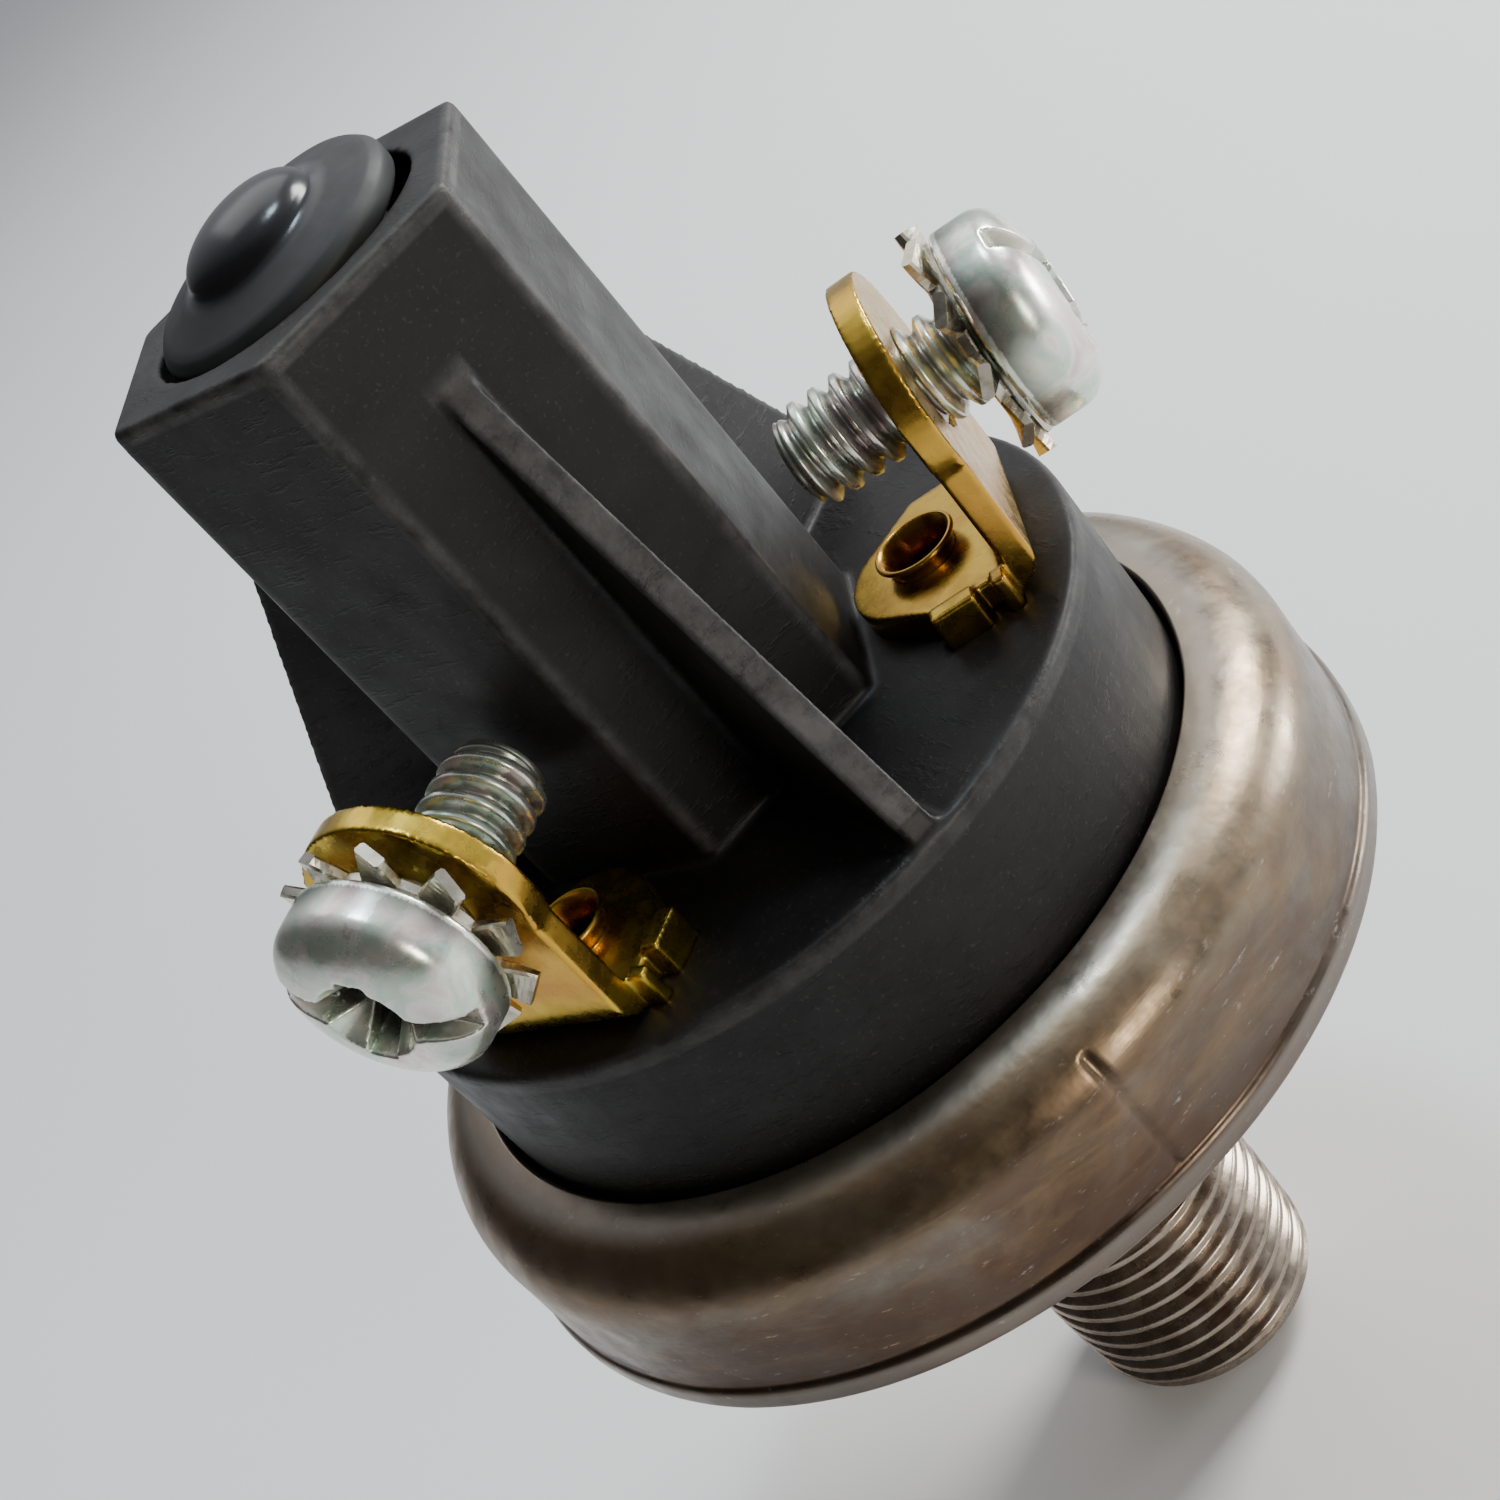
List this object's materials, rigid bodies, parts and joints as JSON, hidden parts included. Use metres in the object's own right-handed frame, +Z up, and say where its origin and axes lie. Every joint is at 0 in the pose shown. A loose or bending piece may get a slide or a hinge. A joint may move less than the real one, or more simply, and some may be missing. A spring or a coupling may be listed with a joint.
{
  "type": "pressure switch",
  "caption": "Adjustable diaphragm pressure switch: threaded stem, crimped round base, hexagonal tower with gussets, screw terminals and a capped adjuster.",
  "frame": {"origin": "on the switch axis at the open end of the threaded port, which is the lowest point", "axes": "+Z up the switch axis towards the adjuster; -Y is the front gusset, between the two terminals; +X is to the right seen from the front"},
  "size_m": [0.0364, 0.0364, 0.0592],
  "materials": {
    "housing_plastic": "matte, moulded, worn grey on top",
    "plug_plastic": "glossy black",
    "shell_steel": "zinc plated, yellow-brown passivation, scuffed",
    "fitting_steel": "zinc plated, dull",
    "screw_zinc": "bright zinc",
    "washer_zinc": "zinc",
    "terminal_brass": "satin, slightly tarnished",
    "insert_brass": "turned",
    "adjuster_steel": "oiled",
    "spring_steel": "wire drawn",
    "seat_zinc": "zinc plated",
    "seal_rubber": "matte",
    "diaphragm_rubber": "matte",
    "piston_plastic": "natural nylon",
    "contact_brass": "stamped",
    "contact_silver": "silver contact"
  },
  "bodies": {
    "switch_body": {"port_fitting": "fitting_steel", "clamp_shell": "shell_steel", "sealing_ring": "seal_rubber", "diaphragm": "diaphragm_rubber", "housing": "housing_plastic", "adjuster_insert": "insert_brass", "fixed_contact_blade": "contact_brass", "fixed_contact_button": "contact_silver", "contact_anchor": "contact_brass", "terminal_bracket_right": "terminal_brass", "terminal_bracket_left": "terminal_brass", "terminal_eyelet_right": "terminal_brass", "terminal_eyelet_left": "terminal_brass"},
    "plug": {"plug_cap": "plug_plastic"},
    "spring_load": {"upper_spring_seat": "seat_zinc"},
    "adjuster": {"adjusting_screw": "adjuster_steel"},
    "piston": {"pressure_piston": "piston_plastic", "contact_pusher": "piston_plastic", "lower_spring_seat": "seat_zinc", "range_spring": "spring_steel"},
    "moving_contact": {"moving_contact_arm": "contact_brass", "moving_contact_button": "contact_silver"},
    "washer_right": {"lock_washer_right": "washer_zinc"},
    "screw_right": {"terminal_screw_right": "screw_zinc"},
    "washer_left": {"lock_washer_left": "washer_zinc"},
    "screw_left": {"terminal_screw_left": "screw_zinc"}
  },
  "joints": [
    {"name": "plug_pull", "type": "slide", "parent": "switch_body", "child": "plug", "axis": [0, 0, 1], "range_m": [0, 0.008]},
    {"name": "adjuster_feed", "type": "slide", "parent": "switch_body", "child": "spring_load", "axis": [0, 0, 1], "range_m": [-0.00396, 0], "deforming": ["range_spring"]},
    {"name": "adjuster_turn", "type": "hinge", "parent": "spring_load", "child": "adjuster", "pos_m": [0, 0, 0.0486], "axis": [0, 0, 1], "range_deg": [-1350, 0]},
    {"name": "piston_lift", "type": "slide", "parent": "switch_body", "child": "piston", "axis": [0, 0, 1], "range_m": [0, 0.00027], "stiffness_N_per_m": 400},
    {"name": "contact_flex", "type": "hinge", "parent": "switch_body", "child": "moving_contact", "pos_m": [0.006, -0.0065, 0.03075], "axis": [0, 1, 0], "range_deg": [0, 3.9]},
    {"name": "terminal_feed_right", "type": "slide", "parent": "switch_body", "child": "washer_right", "axis": [0.866, -0.5, 0], "range_m": [-0.00149, 0.00147]},
    {"name": "terminal_turn_right", "type": "hinge", "parent": "washer_right", "child": "screw_right", "pos_m": [0.0129, -0.00745, 0.0416], "axis": [0.866, -0.5, 0], "range_deg": [-680, 670]},
    {"name": "terminal_feed_left", "type": "slide", "parent": "switch_body", "child": "washer_left", "axis": [-0.866, -0.5, 0], "range_m": [-0.00039, 0.00257]},
    {"name": "terminal_turn_left", "type": "hinge", "parent": "washer_left", "child": "screw_left", "pos_m": [-0.0129, -0.00745, 0.0416], "axis": [-0.866, -0.5, 0], "range_deg": [-180, 1170]}
  ],
  "couplings": [
    {"joint": "adjuster_turn", "follows": "adjuster_feed", "rad_per_m": 5936.9},
    {"joint": "contact_flex", "follows": "piston_lift", "rad_per_m": 245},
    {"joint": "terminal_turn_right", "follows": "terminal_feed_right", "rad_per_m": 7915.8},
    {"joint": "terminal_turn_left", "follows": "terminal_feed_left", "rad_per_m": 7915.8}
  ]
}
